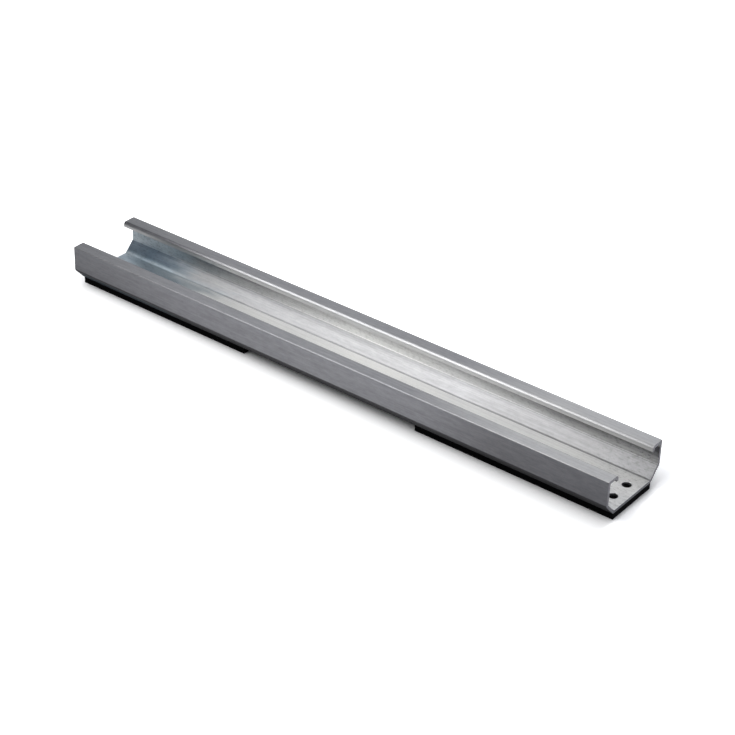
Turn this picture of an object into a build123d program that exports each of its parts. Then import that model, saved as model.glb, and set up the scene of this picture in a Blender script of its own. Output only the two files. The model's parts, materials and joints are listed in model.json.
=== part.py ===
from build123d import *
import os
from math import atan2, degrees, radians, tan

# A short open channel rail of extruded aluminium, lying with its mouth up on two
# rubber pads glued beneath its web. The rail runs along X. The floor is z = 0.

# Rail
RAIL_LENGTH = 400.0
RAIL_WIDTH = 55.0
RAIL_HEIGHT = 25.0
WALL_THICKNESS = 1.8

# Slanted lower corners, measured on the outer faces where they would meet sharp
SLANT_WIDTH = 8.0
SLANT_HEIGHT = 8.5
BEND_OUTER_RADIUS = 2.5
UPPER_BEND_INNER_RADIUS = 1.0
LOWER_BEND_INNER_RADIUS = 2.0

# Top flanges and the short lips turned down at their inner edges
FLANGE_WIDTH = 9.7
LIP_HEIGHT = 3.7
LIP_ROUND_RADIUS = 2.2
LIP_EDGE_RADIUS = 0.4
FLANGE_CORNER_RADIUS = 0.6
FLANGE_ROOT_RADIUS = 0.5

# Screw holes, one pair through the web near each end
HOLE_DIAMETER = 5.5
HOLE_END_DISTANCE = 8.0
HOLE_SPACING = 14.0

# Rubber pads beneath the web, one at each end
PAD_LENGTH = 135.0
PAD_THICKNESS = 4.0
PAD_EDGE_RADIUS = 0.4

# What follows from the sizes above
WEB_WIDTH = RAIL_WIDTH - 2 * SLANT_WIDTH
SIDE_TURN = atan2(SLANT_WIDTH, SLANT_HEIGHT)
WEB_TURN = radians(90) - SIDE_TURN


def section_corners():
    """Corners of the +Y half of the section with their radii, from the mouth round to the web's underside,
    then back along the inner faces. Heights are from the web's underside."""
    side = RAIL_WIDTH / 2
    mouth = side - FLANGE_WIDTH
    inner_side = side - WALL_THICKNESS
    flange_underside = RAIL_HEIGHT - WALL_THICKNESS
    outer = [
        ((mouth, RAIL_HEIGHT - LIP_HEIGHT), LIP_EDGE_RADIUS),
        ((mouth, RAIL_HEIGHT), LIP_ROUND_RADIUS),
        ((side, RAIL_HEIGHT), FLANGE_CORNER_RADIUS),
        ((side, SLANT_HEIGHT), BEND_OUTER_RADIUS),
        ((WEB_WIDTH / 2, 0), BEND_OUTER_RADIUS),
    ]
    inner = [
        ((WEB_WIDTH / 2 - WALL_THICKNESS * tan(WEB_TURN / 2), WALL_THICKNESS), LOWER_BEND_INNER_RADIUS),
        ((inner_side, SLANT_HEIGHT + WALL_THICKNESS * tan(SIDE_TURN / 2)), UPPER_BEND_INNER_RADIUS),
        ((inner_side, flange_underside), FLANGE_ROOT_RADIUS),
        ((mouth + WALL_THICKNESS, flange_underside), FLANGE_ROOT_RADIUS),
        ((mouth + WALL_THICKNESS, RAIL_HEIGHT - LIP_HEIGHT), LIP_EDGE_RADIUS),
    ]
    return outer, inner


def mirrored(corners):
    """The same corners on the -Y half, in the opposite order."""
    return [((-y, z), radius) for (y, z), radius in reversed(corners)]


def channel_rail():
    """One extruded length with square sawn ends and a pair of screw holes near each."""
    outer, inner = section_corners()
    outline = outer + mirrored(outer) + mirrored(inner) + inner
    with BuildPart() as rail:
        with BuildSketch(Plane.YZ):
            with BuildLine():
                FilletPolyline([point for point, _ in outline], radius=[r for _, r in outline], close=True)
            make_face()
        extrude(amount=RAIL_LENGTH / 2, both=True)
        with BuildSketch(Plane.XY):
            with GridLocations(RAIL_LENGTH - 2 * HOLE_END_DISTANCE, HOLE_SPACING, 2, 2):
                Circle(HOLE_DIAMETER / 2)
        extrude(amount=WALL_THICKNESS, mode=Mode.SUBTRACT)
    return rail.part.moved(Location((0, 0, PAD_THICKNESS)))


def rubber_pad(end):
    """A strip as wide as the web, flush with the rail's end; end is -1 or +1 along X."""
    with BuildPart() as pad:
        with BuildSketch(Plane.YZ):
            with Locations((0, PAD_THICKNESS / 2)):
                RectangleRounded(WEB_WIDTH, PAD_THICKNESS, PAD_EDGE_RADIUS)
        extrude(amount=PAD_LENGTH / 2, both=True)
    return pad.part.moved(Location((end * (RAIL_LENGTH - PAD_LENGTH) / 2, 0, 0)))


nodes = {
    "channel_rail": channel_rail(),
    "rubber_pad_left": rubber_pad(-1),
    "rubber_pad_right": rubber_pad(1),
}

os.makedirs("parts", exist_ok=True)
for name, solid in nodes.items():
    export_step(solid, f"parts/{name}.step")
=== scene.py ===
import json
import math
import random

import bpy
import numpy as np
from mathutils import Matrix, Vector


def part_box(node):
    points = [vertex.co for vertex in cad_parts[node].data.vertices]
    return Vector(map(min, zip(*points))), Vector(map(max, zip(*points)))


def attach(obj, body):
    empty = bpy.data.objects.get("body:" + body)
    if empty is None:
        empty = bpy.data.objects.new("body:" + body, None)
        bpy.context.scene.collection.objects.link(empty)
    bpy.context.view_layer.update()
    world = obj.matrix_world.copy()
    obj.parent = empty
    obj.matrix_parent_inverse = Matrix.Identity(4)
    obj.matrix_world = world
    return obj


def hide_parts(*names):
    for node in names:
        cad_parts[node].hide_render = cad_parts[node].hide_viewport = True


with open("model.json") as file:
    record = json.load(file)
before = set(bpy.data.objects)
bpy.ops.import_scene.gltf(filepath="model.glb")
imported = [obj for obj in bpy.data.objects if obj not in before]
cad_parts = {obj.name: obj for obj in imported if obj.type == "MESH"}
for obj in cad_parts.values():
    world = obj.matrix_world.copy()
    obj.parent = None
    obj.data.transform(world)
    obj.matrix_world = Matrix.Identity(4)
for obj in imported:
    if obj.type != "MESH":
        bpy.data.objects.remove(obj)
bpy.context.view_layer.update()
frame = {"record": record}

# A short open channel rail of bare extruded aluminium, lying with its mouth up on
# two rubber pads glued beneath its web. The rail runs along X. Lengths are in metres.

MM = 0.001
RAIL_LOW, RAIL_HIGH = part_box("channel_rail")
PAD_NODES = ("rubber_pad_left", "rubber_pad_right")

# Section of the rail, as drawn
WALL = 1.8 * MM
SLANT_WIDTH = 8.0 * MM
SLANT_HEIGHT = 8.5 * MM
FLANGE_WIDTH = 9.7 * MM
LIP_HEIGHT = 3.7 * MM
BEND_OUTSIDE = 2.5 * MM
UPPER_BEND_INSIDE = 1.0 * MM
LOWER_BEND_INSIDE = 2.0 * MM
LIP_ROUND = 2.2 * MM
LIP_EDGE = 0.4 * MM
FLANGE_CORNER = 0.6 * MM
FLANGE_ROOT = 0.5 * MM

# How finely the section and the length are divided
ARC_STEP = math.radians(5)
FEWEST_ARC_STEPS = 3
FLAT_STEP = 0.25 * MM
FEWEST_FLAT_STEPS = 2
LENGTH_STEP = 30 * MM
# Places nearer than this are the same
TOUCH = 0.001 * MM

# Values kept on each point for the metal's finish: its painted shading, and how smoothed it is
PAINTS = ("dulled", "smoothed")
UNPAINTED = (0.0,) * len(PAINTS)

# Far to one side of the rail, so that the metal's grain runs along X on every drawn face
GRAIN_CENTRE = (0.0, -100.0, 0.0)

# The faces that the screw holes go through. They stay flat, so that the holes' rims meet them.
WEB_FACES = ("web_floor", "web_underside")

# The rail's finishes, by their place in its list
DRAWN, SAWN, DRILLED = range(3)

# Sawn ends and drilled holes
SAWN_EDGE = 0.12 * MM
SAWN_EDGE_STEPS = 2
HOLE_EDGE = 0.2 * MM
HOLE_EDGE_STEPS = 3
HOLE_SIDE_STEPS = 24
HOLE_MOUNTS = ("screw_holes_left", "screw_holes_right")
# Rings of points round a hole, as shares of the way from its rim to the square of web it sits in
HOLE_RINGS = (0.6, 0.25)

# A few deeper lines that the die leaves along each drawn face: the deepest one's depth, their width and
# spacing, and between which shares of that depth and of the face's width each one falls
DEEP_LINE_DEPTH = 0.012 * MM
DEEP_LINE_WIDTH = 0.35 * MM
DEEP_LINE_GAP = 3.0 * MM
DEEP_LINE_DEPTHS = (0.2, 1)
DEEP_LINE_PLACES = (0.1, 0.9)
DIE_LINE_SEED = 11

# Rubber pads
PAD_EDGE = 0.4 * MM
PAD_CUT_EDGE = 0.25 * MM
PAD_SIDE_HOLLOW = 0.12 * MM
PAD_STEP = 2.5 * MM
PAD_EDGE_STEPS = 6
PAD_CUT_EDGE_STEPS = 3
PAD_SIDE_STEPS = 8
PAD_FLAT_STEPS = 20

# Painted shading of each face, in place of light and shade: 0 where the metal is brightest, 1 on the outside,
# painted darker for its darker reflections, and more, up to 2, where a painted dark reflection of the black
# pads and the shadowed floor covers the outer slants
PAINTED_SHADING = {
    "lip_side": 0.42,
    "flange_top": 0.88,
    "outer_wall": 1.0,
    "outer_slant": 1.7,
    "web_underside": 1.0,
    "lip_edge": 0.3,
    "lip_back": 0.3,
    "flange_underside": 0.3,
    "inner_wall": 0.12,
    "inner_slant": 0.77,
    "web_floor": 0.0,
}
# How fast the painted dark reflection of the outer slants sets in round their bends
PAINTED_DARK_SPREAD = 4
# How much painted shade the middle of a bend has over its faces: above 0 a painted dark line, as in the
# crease between the inner slant and the web, below 0 a painted bright line, as on the inner wall's bend
BEND_PAINTED_SHADING = {
    frozenset(("lip_side", "flange_top")): 0.12,
    frozenset(("inner_wall", "inner_slant")): -0.4,
    frozenset(("inner_slant", "web_floor")): 0.5,
    frozenset(("flange_top", "outer_wall")): -0.05,
}
# How smooth each bend and face is, from 0 as drawn to 1
BEND_SMOOTHED = {
    frozenset(("lip_side", "flange_top")): 0.35,
    frozenset(("inner_wall", "inner_slant")): 0.3,
    frozenset(("inner_slant", "web_floor")): 0.2,
}
FACE_SMOOTHED = {"flange_top": 0.4}
# Painted shade under the flanges: the inner wall gets darker upwards by this much, between two shares of its
# height
WALL_PAINTED_SHADE_UP = 0.38
WALL_PAINTED_SHADE_HEIGHTS = (0.1, 0.6)
# How the painted shading changes along the rail, as the amount, and the shares of the length where it starts
# and where it is full. The inner walls and the lips get painted shade towards the ends, where the highlight
# falls off, and the flange tops a painted reflection, brighter towards the right.
WALL_PAINTED_SHADE_LEFT = (0.45, 0.46, 0.26)
WALL_PAINTED_SHADE_RIGHT = (0.5, 0.5, 0.86)
LIP_PAINTED_SHADE_LEFT = (0.27, 0.24, 0.1)
FLANGE_PAINTED_LIGHT_RIGHT = (0.28, 0.66, 0.84)

# How steep the die's fine lines are on each face
LINE_SLOPE = {
    "lip_side": 0.03,
    "flange_top": 0.03,
    "outer_wall": 0.03,
    "outer_slant": 0.02,
    "web_underside": 0.03,
    "lip_edge": 0.0,
    "lip_back": 0.03,
    "flange_underside": 0.03,
    "inner_wall": 0.04,
    "inner_slant": 0.04,
    "web_floor": 0.04,
}

# Greys of the outside from the left end to the right, as (share of the length, colour): painted shade for the
# darker reflections there, darkest towards the ends
OUTSIDE_PAINTED_GREYS = (
    (0.0, (0.120, 0.121, 0.129, 1)),
    (0.25, (0.182, 0.182, 0.194, 1)),
    (0.5, (0.193, 0.194, 0.205, 1)),
    (0.68, (0.189, 0.189, 0.201, 1)),
    (0.82, (0.125, 0.124, 0.132, 1)),
    (1.0, (0.119, 0.119, 0.128, 1)),
)

# The brightest metal, in two tones that drift into each other
METAL_COOL = (0.88, 0.885, 0.885, 1)
METAL_WARM = (0.96, 0.953, 0.922, 1)

# Painted cool reflection inside the left end: its blots, its painted shade on the slants, the shares of the
# length where it starts and where it is full, and how ragged it starts
PAINTED_REFLECTION_BLUE = (0.27, 0.335, 0.385, 1)
PAINTED_REFLECTION_PALE = (0.50, 0.55, 0.58, 1)
PAINTED_REFLECTION_SLANT = (0.36, 0.39, 0.43, 1)
PAINTED_REFLECTION_TURN = (0.20, 0.11)
PAINTED_REFLECTION_RAGGED = 0.25

# Painted dark reflection of the black pads and the shadowed floor, on the outer slants
PAINTED_DARK = (0.012, 0.012, 0.0125, 1)

# Where a face's own finish starts and where it is full, in from the rail's side or down from its top.
# Inside takes in all that lies deeper than the wall and lower than the lips, the underside included.
INSIDE_IN = (0.8 * WALL, WALL)
INSIDE_DOWN = (LIP_HEIGHT, 1.3 * LIP_HEIGHT)
INNER_WALL_IN = (1.25 * WALL, 1.05 * WALL)
INNER_SLANT_IN = (SLANT_WIDTH, 0.85 * SLANT_WIDTH)
FLANGE_TOP_DOWN = (0.2 * LIP_ROUND, 0.0)
LIP_IN = (0.8 * FLANGE_WIDTH, 0.9 * FLANGE_WIDTH)
LIP_DOWN = (1.1 * LIP_HEIGHT, LIP_HEIGHT)

# How broken up a noise is, as its detail and roughness
EVEN = (2.0, 0.5)
BROKEN = (3.0, 0.6)
MOST_BROKEN = (3.0, 0.65)
# The values that most of a noise lies between
NOISE_SPREAD = (0.3, 0.7)
# The middle of a noise, and of the rail's length as a share
MIDDLE = 0.5

# Marks in the drawn metal, in lumps per metre along X, Y and Z
FINE_LINES = (5, 2400, 2400)
STREAKS = (7, 700, 700)
CLOUDS = (22, 60, 60)
BLOTS = (32, 75, 75)
MOTTLES = (150, 600, 600)
SCUFFS = (420, 900, 900)

# How much the lines and mottles darken the metal, and to what shade. Mottles show as far as the painted
# shading goes, and one of MOTTLE_MIDDLE darkens nothing.
FINE_LINE_DARKNESS = 0.2
STREAK_DARKNESS = 0.3
MOTTLE_DARKNESS = 0.35
MOTTLE_SPREAD = (0.35, 0.65)
MOTTLE_MIDDLE = 0.4
LINE_SHADE = (0.6, 0.6, 0.61, 1)
# How much scuffs darken it anywhere, and how much more inside the ends and on the inner walls. The ends
# come in between two shares of the length, counted from the middle.
SCUFF_DARKNESS = 0.12
SCUFF_DARKNESS_ENDS = 0.4
SCUFF_DARKNESS_WALL = 0.3
SCUFF_SPREAD = (0.5, 0.68)
SCUFF_ENDS = (0.38, 0.46)
SCUFF_SHADE = (0.5, 0.5, 0.49, 1)

# How rough the drawn metal is, and what each mark, smooth place or painted dark adds to that
METAL_ROUGHNESS = 0.40
STREAK_ROUGHNESS = 0.06
CLOUD_ROUGHNESS = 0.06
SMOOTHED_ROUGHNESS = -0.24
PAINTED_DARK_ROUGHNESS = 0.5
# How far the painted dark reflection hides the metal under it
PAINTED_DARK_COVER = 0.9
# The grain spreads highlights across the rail, a quarter turn from its own way
DRAWN_SHEEN = {"Specular IOR Level": 0.1, "Anisotropic": 0.9, "Anisotropic Rotation": 0.25}
# Strength and height of the bumps that the fine lines make
FINE_LINE_BUMP = (0.25, 0.04 * MM)

# Cut metal, as the tool's marks in lumps per metre, darker and paler metal, roughness, and bumps
SAWN_METAL = ((60, 90, 3200), (0.09, 0.09, 0.10, 1), (0.15, 0.15, 0.165, 1), 0.42, (0.5, 0.04 * MM))
DRILLED_METAL = ((300, 300, 4000), (0.55, 0.56, 0.57, 1), (0.70, 0.70, 0.70, 1), 0.35, (0.4, 0.03 * MM))

# Black rubber
RUBBER_GRAIN = (1500, 1500, 1500)
RUBBER_DUST = (60, 60, 60)
RUBBER_CLEAN = (0.0012, 0.0012, 0.0014, 1)
RUBBER_DUSTY = (0.003, 0.003, 0.0032, 1)
RUBBER_ROUGHNESS = 0.85
RUBBER_GRAIN_ROUGHNESS = 0.1
RUBBER_SPECULAR = 0.04
RUBBER_BUMP = (0.4, 0.05 * MM)

# Camera, at the photograph's angle. Its lens and sensor are in millimetres.
CAMERA_PLACE = Vector((0.649104, -0.845061, 0.667834))
CAMERA_AHEAD = Vector((-0.510342, 0.679997, -0.526455))
CAMERA_UP = Vector((-0.344811, 0.399013, 0.849644))
CAMERA_LENS = 102.641
CAMERA_SENSOR = 36.0
CAMERA_NEAR = 0.01

# Floor, and how pale it is where it lights the rail
FLOOR_REACH = 3.0
FLOOR_DROP = 0.02 * MM
FLOOR_WHITE = (0.80, 0.80, 0.80, 1)
# The floor as the camera sees it: under the rail, near it and far from it. Colours over 1 make it white
# with no more light on the rail, and the darker colours under and near the rail are a painted shadow that
# deepens the rail's own. A turn is the two distances between which one takes over from the other. They
# count from the rail's ends, and to each side from FLOOR_SHADED off its middle line, and grow faster past
# the right end, which paints out the shadow there.
FLOOR_SEEN_UNDER = (0.8, 0.8, 0.8, 1)
FLOOR_SEEN_NEAR = (1.6, 1.6, 1.6, 1)
FLOOR_SEEN_FAR = (2.8, 2.8, 2.8, 1)
FLOOR_SHADED = 14 * MM
FLOOR_NEAR_TURN = (0.0, 0.024)
FLOOR_FAR_TURN = (0.024, 0.2)
FLOOR_RIGHT_STRETCH = 8
# The floor as the rail's metal mirrors it: a painted shadow, dark in the gap under the rail, and pale beside
# it
FLOOR_MIRRORED_UNDER = (0.25, 0.25, 0.25, 1)
FLOOR_MIRRORED_TURN = (0.018, 0.028)

# The room, with a pale screen: the way to its middle, and the cosines of the angles from it between
# which it fades in
ROOM_DARK = (0.16, 0.165, 0.175, 1)
ROOM_PALE = (1.05, 1.07, 1.12, 1)
SCREEN_WAY = (-0.318, 0.786, 0.530)
SCREEN_TURN = (0.72, 0.90)
# Pale walls past each end of the rail, which only metal mirrors. They fade in between two values of X in
# the direction to them.
RIGHT_WALL_TURN = (-0.12, 0.1)
LEFT_WALL_TURN = (-0.8, -0.93)
BACKGROUND = (1.0, 1.0, 1.0, 1)

# Lamps, as place, width, height, brightness. At brightness 1 a mirror shows one as white.
SOFTBOXES = {
    "key_softbox": ((-0.405, -0.451, 0.667), 0.62, 0.30, 7.8),
    "low_strip": ((-0.405, -0.672, 0.441), 0.42, 0.16, 2.5),
    "side_softbox": ((-0.252, -0.458, 0.733), 0.24, 0.45, 0.8),
    "fill_softbox": ((0.9, -0.5, 1.2), 1.0, 1.0, 1.4),
    "top_softbox": ((0.0, 0.0, 1.6), 1.5, 1.5, 0.6),
}


def unit(vector):
    """The vector at length 1."""
    return vector / np.linalg.norm(vector)


def left_of(direction):
    """A quarter turn to the left: the outward side of an outline that is walked clockwise."""
    return np.array([-direction[1], direction[0]])


def turned(vector, angle):
    """The vector turned in the section's plane."""
    cosine, sine = math.cos(angle), math.sin(angle)
    return np.array([cosine * vector[0] - sine * vector[1], sine * vector[0] + cosine * vector[1]])


def section_corners():
    """Corners of the whole section as (y, z, radius, face that follows), walked clockwise from the +Y lip."""
    side = RAIL_HIGH.y
    top = RAIL_HIGH.z
    underside = RAIL_LOW.z
    mouth = side - FLANGE_WIDTH
    inner_side = side - WALL
    lip_bottom = top - LIP_HEIGHT
    side_turn = math.atan2(SLANT_WIDTH, SLANT_HEIGHT)
    web_turn = math.pi / 2 - side_turn
    outer = [
        (mouth, lip_bottom, LIP_EDGE),
        (mouth, top, LIP_ROUND),
        (side, top, FLANGE_CORNER),
        (side, underside + SLANT_HEIGHT, BEND_OUTSIDE),
        (side - SLANT_WIDTH, underside, BEND_OUTSIDE),
    ]
    inner = [
        (side - SLANT_WIDTH - WALL * math.tan(web_turn / 2), underside + WALL, LOWER_BEND_INSIDE),
        (inner_side, underside + SLANT_HEIGHT + WALL * math.tan(side_turn / 2), UPPER_BEND_INSIDE),
        (inner_side, top - WALL, FLANGE_ROOT),
        (mouth + WALL, top - WALL, FLANGE_ROOT),
        (mouth + WALL, lip_bottom, LIP_EDGE),
    ]

    def mirrored(corners):
        return [(-y, z, radius) for y, z, radius in reversed(corners)]

    down_the_outside = ["lip_side", "flange_top", "outer_wall", "outer_slant", "web_underside"]
    down_the_inside = ["lip_back", "flange_underside", "inner_wall", "inner_slant", "web_floor"]
    faces = down_the_outside + down_the_outside[3::-1] + ["lip_edge"]
    faces += down_the_inside + down_the_inside[3::-1] + ["lip_edge"]
    corners = outer + mirrored(outer) + mirrored(inner) + inner
    return [(*corner, face) for corner, face in zip(corners, faces)]


def flat_places(face, start, end, web_lines):
    """Distances from start, along a flat, at which the section gets a point. The web's suit its holes."""
    length = np.linalg.norm(end - start)
    if face in WEB_FACES:
        lines = sorted(abs(line - start[0]) for line in web_lines)
        near, far = lines[0], lines[-1]
        margin = max(FEWEST_FLAT_STEPS, round(near / FLAT_STEP))
        before = [near * k / margin for k in range(1, margin)]
        after = [far + (length - far) * k / margin for k in range(1, margin)]
        return np.array(before + lines + after)
    steps = max(FEWEST_FLAT_STEPS, round(length / FLAT_STEP))
    return np.arange(1, steps) * length / steps


def die_lines(length, places, steepness, draws):
    """Heights and slopes, at places along a flat, of the fine and deeper lines that the die leaves on it."""
    step = np.gradient(np.concatenate([[0.0], places, [length]]))[1:-1]
    fade = np.clip(np.minimum(places, length - places) / DEEP_LINE_WIDTH, 0, 1)
    slopes = np.array([draws.gauss(0, steepness) for _ in places]) * fade
    heights = -np.abs(slopes) * step / 2
    for _ in range(int(length / DEEP_LINE_GAP)):
        depth = draws.uniform(*DEEP_LINE_DEPTHS) * DEEP_LINE_DEPTH
        away = (places - draws.uniform(*DEEP_LINE_PLACES) * length) / DEEP_LINE_WIDTH
        line = -depth * np.exp(-2 * away * away)
        heights += line
        slopes += -4 * away / DEEP_LINE_WIDTH * line
    return heights, slopes


def rounded_corners(corners):
    """For each corner, where its bend starts and ends, and the (point, normal) pairs along the bend."""
    count = len(corners)
    places = [np.array(corner[:2]) for corner in corners]
    rounded = []
    for k in range(count):
        ahead_in = unit(places[k] - places[k - 1])
        ahead_out = unit(places[(k + 1) % count] - places[k])
        turn = math.atan2(ahead_in[0] * ahead_out[1] - ahead_in[1] * ahead_out[0], ahead_in @ ahead_out)
        radius = corners[k][2]
        tangent = radius * math.tan(abs(turn) / 2)
        side = math.copysign(1, turn)
        start, end = places[k] - ahead_in * tangent, places[k] + ahead_out * tangent
        centre = start + left_of(ahead_in) * side * radius
        steps = max(FEWEST_ARC_STEPS, math.ceil(abs(turn) / ARC_STEP))
        normals = [turned(left_of(ahead_in), turn * j / steps) for j in range(steps + 1)]
        rounded.append((start, end, [(centre - side * radius * normal, normal) for normal in normals]))
    return rounded


def bend_paint(before, face, share):
    """How much painted shading and how smoothed a bend is, at a share of the way round it from one face to
    the next.
    """
    bend = frozenset((before, face))
    middle = math.sin(math.pi * share)
    if face == "outer_slant":
        share = 1 - (1 - share) ** PAINTED_DARK_SPREAD
    elif before == "outer_slant":
        share = share ** PAINTED_DARK_SPREAD
    dulled = PAINTED_SHADING[before] * (1 - share) + PAINTED_SHADING[face] * share + BEND_PAINTED_SHADING.get(bend, 0.0) * middle
    from_faces = (FACE_SMOOTHED.get(before, 0.0) * (1 - share), FACE_SMOOTHED.get(face, 0.0) * share)
    return dulled, max(BEND_SMOOTHED.get(bend, 0.0) * middle, *from_faces)


def face_paint(face, height_share):
    """How much painted shading and how smoothed a flat face is, at a share of the inner wall's height, up
    which the painted shade under the flanges grows.
    """
    dulled = PAINTED_SHADING[face]
    if face == "inner_wall":
        dulled += np.interp(height_share, WALL_PAINTED_SHADE_HEIGHTS, (0, WALL_PAINTED_SHADE_UP))
    return dulled, FACE_SMOOTHED.get(face, 0.0)


def rail_section(web_lines):
    """The section as points (y, z), outward normals, paints and face names, walked clockwise."""
    corners = section_corners()
    draws = random.Random(DIE_LINE_SEED)
    rounded = rounded_corners(corners)
    wall_low = min(corner[1] for corner in corners if corner[3] == "inner_wall")
    wall_high = max(corner[1] for corner in corners if corner[3] == "inner_wall")
    points, normals, paints, faces = [], [], [], []
    for k, (_, start, arc) in enumerate(rounded):
        before, face = corners[k - 1][3], corners[k][3]
        for j, (point, normal) in enumerate(arc):
            points.append(point)
            normals.append(normal)
            paints.append(bend_paint(before, face, j / (len(arc) - 1)))
            faces.append("bend")
        end = rounded[(k + 1) % len(corners)][0]
        ahead = unit(end - start)
        outward = left_of(ahead)
        distances = flat_places(face, start, end, web_lines)
        heights, slopes = die_lines(np.linalg.norm(end - start), distances, LINE_SLOPE[face], draws)
        if face in WEB_FACES:
            heights = np.zeros_like(heights)
        for distance, height, slope in zip(distances, heights, slopes):
            point = start + ahead * distance + outward * height
            points.append(point)
            normals.append(unit(outward - ahead * slope))
            paints.append(face_paint(face, (point[1] - wall_low) / (wall_high - wall_low)))
            faces.append(face)
    return np.array(points), np.array(normals), np.array(paints), faces


class Skin:
    """Points, outward normals and faces of one piece, gathered ring by ring."""

    def __init__(self):
        self.points = []
        self.normals = []
        self.paints = []
        self.faces = []
        self.finishes = []

    def ring(self, points, normals, paints):
        """Adds a ring of points and returns their numbers."""
        first = len(self.points)
        self.points += [tuple(point) for point in points]
        self.normals += [tuple(normal) for normal in normals]
        self.paints += [tuple(paint) for paint in paints]
        return list(range(first, len(self.points)))

    def face(self, corners, finish):
        """Adds one face."""
        self.faces.append(corners)
        self.finishes.append(finish)

    def band(self, first, second, finish, skipped):
        """Closes the strip between two rings, apart from the columns skipped."""
        count = len(first)
        for k in range(count):
            after = (k + 1) % count
            if (first[k], first[after]) not in skipped:
                self.face((first[k], second[k], second[after], first[after]), finish)

    def piece(self, name, finishes):
        """Makes the object. Its texture space sets which way the grain runs."""
        mesh = bpy.data.meshes.new(name)
        mesh.from_pydata(self.points, [], self.faces)
        for material in finishes:
            mesh.materials.append(material)
        mesh.polygons.foreach_set("material_index", self.finishes)
        for name_of_paint, values in zip(PAINTS, np.array(self.paints, np.float32).T):
            paint = mesh.attributes.new(name_of_paint, "FLOAT", "POINT")
            paint.data.foreach_set("value", np.ascontiguousarray(values))
        mesh.use_auto_texspace = False
        mesh.texspace_location = GRAIN_CENTRE
        mesh.texspace_size = (1, 1, 1)
        mesh.shade_smooth()
        mesh.update()
        mesh.validate()
        mesh.normals_split_custom_set_from_vertices(self.normals)
        made = bpy.data.objects.new(name, mesh)
        bpy.context.scene.collection.objects.link(made)
        return made


def swept(skin, section, low, high, stations, edge, edge_steps, sides, ends, skipped):
    """Sweeps a closed section along X from low to high, with lightly rounded edges at both cut ends.

    Each of skipped is a stretch left open for a hole: its two ends and its pairs of neighbouring points.
    """
    points, normals, paints = section
    count = len(points)
    rings = []
    places = [(low + edge * (1 - math.cos(angle)), edge * (1 - math.sin(angle)), angle, -1)
              for angle in np.linspace(0, math.pi / 2, edge_steps + 1)]
    places += [(x, 0.0, math.pi / 2, 0) for x in stations]
    places += [(high - edge * (1 - math.cos(angle)), edge * (1 - math.sin(angle)), angle, 1)
               for angle in np.linspace(math.pi / 2, 0, edge_steps + 1)]
    for x, inward, tilt, facing in places:
        ring = np.column_stack([np.full(count, x), points - normals * inward])
        along = np.full(count, facing * math.cos(tilt))
        rings.append((x, skin.ring(ring, np.column_stack([along, normals * math.sin(tilt)]), paints)))
    for (x_first, first), (x_second, second) in zip(rings, rings[1:]):
        missing = set()
        for left, right, columns in skipped:
            if x_first > left - TOUCH and x_second < right + TOUCH:
                missing |= {(first[a], first[b]) for a, b in columns}
        on_edge = min(x_second - low, high - x_first) < edge + TOUCH
        skin.band(first, second, ends if on_edge else sides, missing)
    skin.face(tuple(rings[0][1]), ends)
    skin.face(tuple(reversed(rings[-1][1])), ends)
    return rings


def hole_places():
    """Centre (x, y), radius, and half the spacing of its pair, of every screw hole."""
    holes = []
    for mount in frame["record"]["mounts"]:
        if mount["name"] in HOLE_MOUNTS:
            half = mount["dims"]["spacing_y_mm"] * MM / 2
            radius = mount["dims"]["hole_r_mm"] * MM
            holes += [(mount["pos_m"][0], side * half, radius, half) for side in (-1, 1)]
    return holes


def spot(length):
    """A place along an axis, rounded so that equal places are found again."""
    return round(length / TOUCH)


def channel_rail(finishes):
    """The drawn length with sawn ends and drilled screw holes."""
    holes = hole_places()
    reach = holes[0][3]
    steps = HOLE_SIDE_STEPS
    web_lines = [2 * reach * k / steps - 2 * reach for k in range(2 * steps + 1)]
    points, normals, paints, faces = rail_section(web_lines)
    columns = {(faces[k], spot(points[k][0])): k for k in range(len(points)) if faces[k] in WEB_FACES}

    def column(face, y):
        return columns[face, spot(y)]

    hole_lines = sorted({hole[0] + reach * (2 * k / steps - 1) for hole in holes for k in range(steps + 1)})
    edge_left, edge_right = hole_lines[steps], hole_lines[steps + 1]
    between = edge_right - edge_left
    count = round(between / LENGTH_STEP)
    stations = sorted(hole_lines + [edge_left + between * k / count for k in range(1, count)])
    skipped = []
    for x, y, radius, half in holes:
        pairs = set()
        for k in range(steps):
            low, high = y - half + 2 * half * k / steps, y - half + 2 * half * (k + 1) / steps
            pairs.add((column("web_floor", low), column("web_floor", high)))
            pairs.add((column("web_underside", high), column("web_underside", low)))
        skipped.append((x - half, x + half, pairs))
    skin = Skin()
    rings = swept(skin, (points, normals, paints), RAIL_LOW.x, RAIL_HIGH.x, stations,
                  SAWN_EDGE, SAWN_EDGE_STEPS, sides=DRAWN, ends=SAWN, skipped=skipped)
    ring_at = {spot(x): ring for x, ring in rings}
    for x, y, radius, half in holes:
        drilled(skin, x, y, radius, half, ring_at, column)
    return skin.piece("channel_rail_drawn", finishes)


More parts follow.
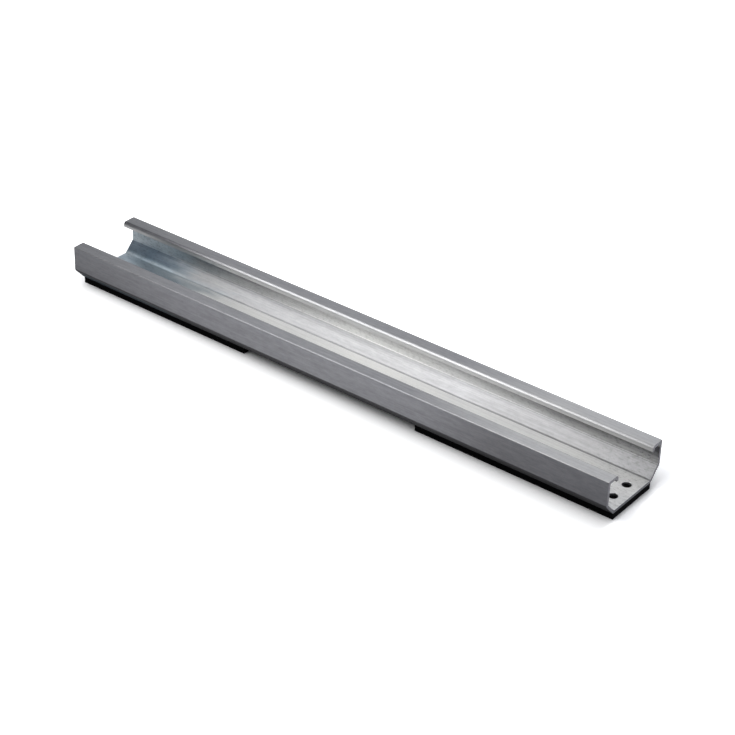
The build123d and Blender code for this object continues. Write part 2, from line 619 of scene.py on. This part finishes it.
def drilled(skin, x, y, radius, half, ring_at, column):
    """One screw hole: the web around it on both faces, its eased rims and its wall."""
    steps = HOLE_SIDE_STEPS
    square = [(half, half * (2 * k / steps - 1)) for k in range(steps)]
    square += [(half * (1 - 2 * k / steps), half) for k in range(steps)]
    square += [(-half, half * (1 - 2 * k / steps)) for k in range(steps)]
    square += [(half * (2 * k / steps - 1), -half) for k in range(steps)]
    count = len(square)
    around = [2 * math.pi * k / count - math.pi / 4 for k in range(count)]
    top, bottom = RAIL_LOW.z + WALL, RAIL_LOW.z
    web_paints = [(PAINTED_SHADING["web_floor"], 0.0)] * count

    def perimeter(face):
        return [ring_at[spot(x + dx)][column(face, y + dy)] for dx, dy in square]

    def flat_ring(share, z, up):
        rim = (radius + HOLE_EDGE) * (1 - share)
        points = [(x + dx * share + rim * math.cos(angle), y + dy * share + rim * math.sin(angle), z)
                  for (dx, dy), angle in zip(square, around)]
        return skin.ring(points, [(0, 0, up)] * count, web_paints)

    def rim_ring(tilt, z_face, up):
        out = radius + HOLE_EDGE * (1 - math.sin(tilt))
        z = z_face - up * HOLE_EDGE * (1 - math.cos(tilt))
        ways = [(math.cos(angle), math.sin(angle)) for angle in around]
        points = [(x + out * cosine, y + out * sine, z) for cosine, sine in ways]
        inward = -math.sin(tilt)
        normals = [(inward * cosine, inward * sine, up * math.cos(tilt)) for cosine, sine in ways]
        return skin.ring(points, normals, web_paints)

    easing = [math.pi / 2 * k / HOLE_EDGE_STEPS for k in range(HOLE_EDGE_STEPS + 1)]
    chain = [(perimeter("web_floor"), DRAWN)]
    chain += [(flat_ring(share, top, 1), DRAWN) for share in HOLE_RINGS]
    chain += [(rim_ring(tilt, top, 1), DRAWN if tilt == 0 else DRILLED) for tilt in easing]
    chain += [(rim_ring(tilt, bottom, -1), DRILLED) for tilt in reversed(easing)]
    chain += [(flat_ring(share, bottom, -1), DRAWN) for share in reversed(HOLE_RINGS)]
    chain += [(perimeter("web_underside"), DRAWN)]
    for (outer, _), (inner, finish) in zip(chain, chain[1:]):
        for k in range(count):
            after = (k + 1) % count
            skin.face((outer[k], outer[after], inner[after], inner[k]), finish)


def rubber_pad(node, finish):
    """A strip cut from flat rubber, its long sides a little hollow."""
    low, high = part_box(node)
    half, thick = high.y, high.z - low.z
    middle = (low.z + high.z) / 2
    corners = [(half, thick / 2), (half, -thick / 2), (-half, -thick / 2), (-half, thick / 2)]
    points, normals = [], []
    for k, (y, z) in enumerate(corners):
        centre = np.array([y - math.copysign(PAD_EDGE, y), z - math.copysign(PAD_EDGE, z)])
        first = math.pi / 2 * (1 - k)
        for j in range(PAD_EDGE_STEPS + 1):
            angle = first - math.pi / 2 * j / PAD_EDGE_STEPS
            normal = np.array([math.cos(angle), math.sin(angle)])
            points.append(centre + normal * PAD_EDGE)
            normals.append(normal)
        if k % 2 == 0:
            side = math.copysign(1, y)
            straight = thick - 2 * PAD_EDGE
            for j in range(1, PAD_SIDE_STEPS):
                share = j / PAD_SIDE_STEPS
                hollow = PAD_SIDE_HOLLOW * math.sin(math.pi * share) ** 2
                slope = PAD_SIDE_HOLLOW * math.pi * math.sin(2 * math.pi * share) / straight
                height = thick / 2 - PAD_EDGE - straight * share
                points.append(np.array([side * (half - hollow), side * height]))
                normals.append(unit(np.array([side, -side * slope])))
        else:
            flat = half - PAD_EDGE
            for j in range(1, PAD_FLAT_STEPS):
                points.append(np.array([math.copysign(1, y) * flat * (1 - 2 * j / PAD_FLAT_STEPS), z]))
                normals.append(np.array([0.0, math.copysign(1, z)]))
    points = np.array(points) + np.array([0, middle])
    count = round((high.x - low.x) / PAD_STEP)
    stations = [low.x + (high.x - low.x) * k / count for k in range(1, count)]
    skin = Skin()
    swept(skin, (points, np.array(normals), [UNPAINTED] * len(points)), low.x, high.x, stations,
          PAD_CUT_EDGE, PAD_CUT_EDGE_STEPS, sides=0, ends=0, skipped=[])
    return skin.piece(node + "_strip", [finish])


class Value:
    """A number, colour or place that a finish works out over its surface. Sums on numbers add Math nodes."""

    def __init__(self, finish, socket):
        self.finish = finish
        self.socket = socket

    def __add__(self, other):
        return self.finish.math("ADD", self, other)

    def __sub__(self, other):
        return self.finish.math("SUBTRACT", self, other)

    def __rsub__(self, other):
        return self.finish.math("SUBTRACT", other, self)

    def __mul__(self, other):
        return self.finish.math("MULTIPLY", self, other)

    __radd__ = __add__
    __rmul__ = __mul__


class Finish:
    """A material, or the world, and the nodes that make it."""

    def __init__(self, owner):
        self.owner = owner
        owner.use_nodes = True
        self.tree = owner.node_tree
        self.tree.nodes.clear()

    def node(self, kind, settings=None, sockets=None, output=0):
        """Adds a node, sets it up, then gives its sockets their values or links."""
        node = self.tree.nodes.new("ShaderNode" + kind)
        for name, value in (settings or {}).items():
            if name == "stops":
                self.stops(node.color_ramp, value)
            else:
                setattr(node, name, value)
        for name, value in (sockets or {}).items():
            socket = self.socket(node, name)
            if isinstance(value, Value):
                self.tree.links.new(value.socket, socket)
            else:
                socket.default_value = value
        return Value(self, node.outputs[output]) if node.outputs else None

    def socket(self, node, name):
        """A node's socket by its place, or by its name among those that its settings leave in use."""
        if isinstance(name, int):
            return node.inputs[name]
        return next(socket for socket in node.inputs if socket.name == name and socket.enabled)

    def stops(self, ramp, stops):
        """Sets a ramp's stops from (place, colour) pairs."""
        while len(ramp.elements) < len(stops):
            ramp.elements.new(1.0)
        for element, (place, colour) in zip(ramp.elements, stops):
            element.position = place
            element.color = colour

    def math(self, operation, *numbers):
        """One Math node."""
        return self.node("Math", {"operation": operation}, dict(enumerate(numbers)))

    def within(self, value, low, high):
        """0 below low, 1 above high, and in proportion between."""
        return self.node("MapRange", None, {"Value": value, "From Min": low, "From Max": high})

    def place(self):
        """Where a point of the piece is, in metres."""
        return self.node("TexCoord", output="Object")

    def vector(self, operation, *vectors, output="Vector"):
        """One Vector Math node."""
        return self.node("VectorMath", {"operation": operation}, dict(enumerate(vectors)), output)

    def noise(self, place, scale, breaks):
        """Smooth noise from 0 to 1. The scale is in lumps per metre along each axis."""
        detail, roughness = breaks
        return self.node("TexNoise", None, {"Vector": self.vector("MULTIPLY", place, scale), "Scale": 1.0,
                                            "Detail": detail, "Roughness": roughness})

    def blend(self, share, first, second):
        """A colour between two, by share."""
        return self.node("Mix", {"data_type": "RGBA"}, {"Factor": share, "A": first, "B": second}, output=2)

    def darkened(self, share, colour, shade):
        """A colour times a shade, by share."""
        settings = {"data_type": "RGBA", "blend_type": "MULTIPLY"}
        return self.node("Mix", settings, {"Factor": share, "A": colour, "B": shade}, output=2)

    def output(self, value, place):
        """Another output of the node that a value comes from."""
        return Value(self, value.socket.node.outputs[place])

    def rays(self):
        """Whether a camera ray looks, and whether a mirrored or transmitted ray does."""
        by_camera = self.node("LightPath", output="Is Camera Ray")
        mirrored = self.output(by_camera, "Is Glossy Ray")
        transmitted = self.output(by_camera, "Is Transmission Ray")
        return by_camera, self.math("MAXIMUM", mirrored, transmitted)

    def painted(self, name):
        """A value kept on the piece's own points."""
        return self.node("Attribute", {"attribute_name": name}, output="Fac")

    def surface(self, sockets, height, strength, depth):
        """Ends a piece's finish with its shader, and a bump that is depth metres high where height is 1."""
        normal = self.node("Bump", None, {"Strength": strength, "Distance": depth, "Height": height})
        shader = self.node("BsdfPrincipled", None, {**sockets, "Normal": normal})
        self.node("OutputMaterial", None, {"Surface": shader})
        return self.owner


class RailFaces:
    """Where a point lies: its share of the rail's length, and how far it is on each kind of face."""

    def __init__(self, finish, place):
        axes = finish.node("SeparateXYZ", None, {0: place})
        into = RAIL_HIGH.y - finish.math("ABSOLUTE", finish.output(axes, 1))
        down = RAIL_HIGH.z - finish.output(axes, 2)
        self.along = finish.within(axes, RAIL_LOW.x, RAIL_HIGH.x)
        self.inside = finish.within(into, *INSIDE_IN) * finish.within(down, *INSIDE_DOWN)
        self.wall = self.inside * finish.within(into, *INNER_WALL_IN)
        self.slant = self.inside * finish.within(into, *INNER_SLANT_IN) - self.wall
        self.top = finish.within(down, *FLANGE_TOP_DOWN)
        self.lip = finish.within(down, *LIP_DOWN) * finish.within(into, *LIP_IN)


def painted_shading_of(finish, rail):
    """The metal's painted shading, from 0 to 1, and how much of the painted dark reflection covers it."""

    def changed(amount, start, full):
        return amount * finish.within(rail.along, start, full)

    painted = finish.painted("dulled")
    # Painted reflection brighter on the flange tops towards the right; painted shade on the inner walls and
    # lips towards the ends
    dulled = painted - rail.top * changed(*FLANGE_PAINTED_LIGHT_RIGHT)
    dulled = dulled + rail.wall * (changed(*WALL_PAINTED_SHADE_LEFT) + changed(*WALL_PAINTED_SHADE_RIGHT))
    dulled = dulled + rail.lip * changed(*LIP_PAINTED_SHADE_LEFT)
    return finish.within(dulled, 0.0, 1.0), finish.within(painted, 1.0, 2.0)


def mill_finish():
    """Bare drawn aluminium with fine lines along its length: bright inside, painted darker outside."""
    finish = Finish(bpy.data.materials.new("mill_finish_aluminium"))
    place = finish.place()
    rail = RailFaces(finish, place)
    dulled, painted_dark_share = painted_shading_of(finish, rail)
    fine = finish.noise(place, FINE_LINES, EVEN)
    streaks = finish.noise(place, STREAKS, BROKEN)
    clouds = finish.noise(place, CLOUDS, BROKEN)

    bright = finish.blend(clouds, METAL_COOL, METAL_WARM)
    # Painted shade: the outside's darker greys, blended in by the painted shading
    painted_grey = finish.node("ValToRGB", {"stops": OUTSIDE_PAINTED_GREYS}, {0: rail.along})
    colour = finish.blend(dulled, bright, painted_grey)

    blots = finish.within(finish.noise(place, BLOTS, EVEN), *NOISE_SPREAD)
    # Painted reflection: a cool patch inside the left end, with painted shade on its slants
    painted_reflection = finish.within(rail.along + PAINTED_REFLECTION_RAGGED * (clouds - MIDDLE), *PAINTED_REFLECTION_TURN) * rail.inside
    colour = finish.blend(painted_reflection, colour, finish.blend(blots, PAINTED_REFLECTION_BLUE, PAINTED_REFLECTION_PALE))
    colour = finish.darkened(painted_reflection * rail.slant, colour, PAINTED_REFLECTION_SLANT)
    # Painted dark reflection on the outer slants
    colour = finish.blend(painted_dark_share, colour, PAINTED_DARK)

    mottles = finish.within(finish.noise(place, MOTTLES, BROKEN), *MOTTLE_SPREAD) - MOTTLE_MIDDLE
    lines = STREAK_DARKNESS * finish.within(streaks, *NOISE_SPREAD)
    lines = lines + FINE_LINE_DARKNESS * finish.within(fine, *NOISE_SPREAD)
    lines = lines + MOTTLE_DARKNESS * mottles * dulled
    colour = finish.darkened(lines, colour, LINE_SHADE)

    scuffs = finish.within(finish.noise(place, SCUFFS, MOST_BROKEN), *SCUFF_SPREAD)
    near_ends = finish.within(finish.math("ABSOLUTE", rail.along - MIDDLE), *SCUFF_ENDS)
    darkness = SCUFF_DARKNESS + SCUFF_DARKNESS_ENDS * near_ends * rail.inside
    darkness = darkness + SCUFF_DARKNESS_WALL * rail.wall
    colour = finish.darkened(scuffs * darkness, colour, SCUFF_SHADE)

    roughness = METAL_ROUGHNESS + STREAK_ROUGHNESS * streaks + CLOUD_ROUGHNESS * (clouds - MIDDLE)
    roughness = roughness + SMOOTHED_ROUGHNESS * finish.painted("smoothed") + PAINTED_DARK_ROUGHNESS * painted_dark_share
    sockets = {"Base Color": colour, "Metallic": 1 - PAINTED_DARK_COVER * painted_dark_share, "Roughness": roughness}
    return finish.surface({**sockets, **DRAWN_SHEEN}, fine, *FINE_LINE_BUMP)


def cut_metal(name, tool_marks, darker, paler, roughness, bump):
    """Metal that a tool has cut, with that tool's marks."""
    finish = Finish(bpy.data.materials.new(name))
    marks = finish.noise(finish.place(), tool_marks, EVEN)
    colour = finish.blend(marks, darker, paler)
    return finish.surface({"Base Color": colour, "Metallic": 1.0, "Roughness": roughness}, marks, *bump)


def black_rubber():
    """Matt black solid rubber with a little dust."""
    finish = Finish(bpy.data.materials.new("black_rubber"))
    place = finish.place()
    grain = finish.noise(place, RUBBER_GRAIN, BROKEN)
    colour = finish.blend(finish.noise(place, RUBBER_DUST, BROKEN), RUBBER_CLEAN, RUBBER_DUSTY)
    sockets = {"Base Color": colour, "Roughness": RUBBER_ROUGHNESS + RUBBER_GRAIN_ROUGHNESS * grain,
               "Specular IOR Level": RUBBER_SPECULAR}
    return finish.surface(sockets, grain, *RUBBER_BUMP)


def floor_finish():
    """Matt and pale. It lights the rail with one colour, and the camera and the metal's mirror see others,
    darker under and near the rail as a painted shadow.
    """
    finish = Finish(bpy.data.materials.new("studio_floor"))
    place = finish.place()
    by_camera, by_metal = finish.rays()
    beside = finish.vector("ABSOLUTE", place)
    beside = finish.vector("SUBTRACT", beside, (RAIL_HIGH.x, FLOOR_SHADED, 0))
    beside = finish.vector("MAXIMUM", beside, (0, 0, 0))
    past_right = finish.math("MAXIMUM", finish.node("SeparateXYZ", None, {0: place}) - RAIL_HIGH.x, 0.0)
    away = finish.vector("LENGTH", beside, output="Value") + FLOOR_RIGHT_STRETCH * past_right
    seen = finish.blend(finish.within(away, *FLOOR_NEAR_TURN), FLOOR_SEEN_UNDER, FLOOR_SEEN_NEAR)
    seen = finish.blend(finish.within(away, *FLOOR_FAR_TURN), seen, FLOOR_SEEN_FAR)
    mirrored = finish.blend(finish.within(away, *FLOOR_MIRRORED_TURN), FLOOR_MIRRORED_UNDER, FLOOR_SEEN_NEAR)
    colour = finish.blend(by_camera, FLOOR_WHITE, seen)
    colour = finish.blend(by_metal, colour, mirrored)
    shader = finish.node("BsdfDiffuse", None, {"Color": colour})
    finish.node("OutputMaterial", None, {"Surface": shader})
    return finish.owner


def floor():
    """A wide level floor, just under the pads."""
    mesh = bpy.data.meshes.new("studio_floor")
    sides = ((-1, -1), (1, -1), (1, 1), (-1, 1))
    corners = [(FLOOR_REACH * x, FLOOR_REACH * y, -FLOOR_DROP) for x, y in sides]
    mesh.from_pydata(corners, [], [(0, 1, 2, 3)])
    mesh.materials.append(floor_finish())
    made = bpy.data.objects.new("studio_floor", mesh)
    bpy.context.scene.collection.objects.link(made)


def softbox(name, place, width, height, brightness):
    """A flat lamp that faces the rail."""
    lamp = bpy.data.lights.new(name, "AREA")
    lamp.shape = "RECTANGLE"
    lamp.size = width
    lamp.size_y = height
    lamp.energy = brightness * math.pi * width * height
    made = bpy.data.objects.new(name, lamp)
    made.location = place
    made.rotation_mode = "QUATERNION"
    made.rotation_quaternion = (-Vector(place)).to_track_quat("-Z", "Y")
    made.visible_camera = False
    bpy.context.scene.collection.objects.link(made)


def room():
    """The room round the floor: grey, with a pale screen behind the rail. The camera sees plain white."""
    world = bpy.data.worlds.new("studio_room")
    bpy.context.scene.world = world
    finish = Finish(world)
    way = finish.node("TexCoord", output="Generated")
    by_camera, by_metal = finish.rays()
    to_screen = finish.vector("DOT_PRODUCT", way, SCREEN_WAY, output="Value")
    colour = finish.blend(finish.within(to_screen, *SCREEN_TURN), ROOM_DARK, ROOM_PALE)
    along = finish.node("SeparateXYZ", None, {0: way})
    end_walls = finish.within(along, *RIGHT_WALL_TURN) + finish.within(along, *LEFT_WALL_TURN)
    colour = finish.blend(end_walls * by_metal, colour, ROOM_PALE)
    colour = finish.blend(by_camera, colour, BACKGROUND)
    shader = finish.node("Background", None, {"Color": colour, "Strength": 1.0})
    finish.node("OutputWorld", None, {"Surface": shader})


def camera():
    """The camera at the photograph's place."""
    lens = bpy.data.cameras.new("camera")
    lens.lens = CAMERA_LENS
    lens.sensor_width = CAMERA_SENSOR
    lens.clip_start = CAMERA_NEAR
    made = bpy.data.objects.new("camera", lens)
    right = CAMERA_AHEAD.cross(CAMERA_UP).normalized()
    up = right.cross(CAMERA_AHEAD).normalized()
    turn = Matrix((right, up, -CAMERA_AHEAD.normalized())).transposed()
    made.matrix_world = Matrix.Translation(CAMERA_PLACE) @ turn.to_4x4()
    bpy.context.scene.collection.objects.link(made)
    bpy.context.scene.camera = made


camera()
rail = channel_rail([mill_finish(), cut_metal("sawn_aluminium", *SAWN_METAL),
                     cut_metal("drilled_aluminium", *DRILLED_METAL)])
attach(rail, "root")
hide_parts("channel_rail")
rubber = black_rubber()
for node in PAD_NODES:
    pad = rubber_pad(node, rubber)
    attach(pad, "root")
    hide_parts(node)

floor()
room()
for name, settings in SOFTBOXES.items():
    softbox(name, *settings)

bpy.context.scene.view_settings.view_transform = "Standard"
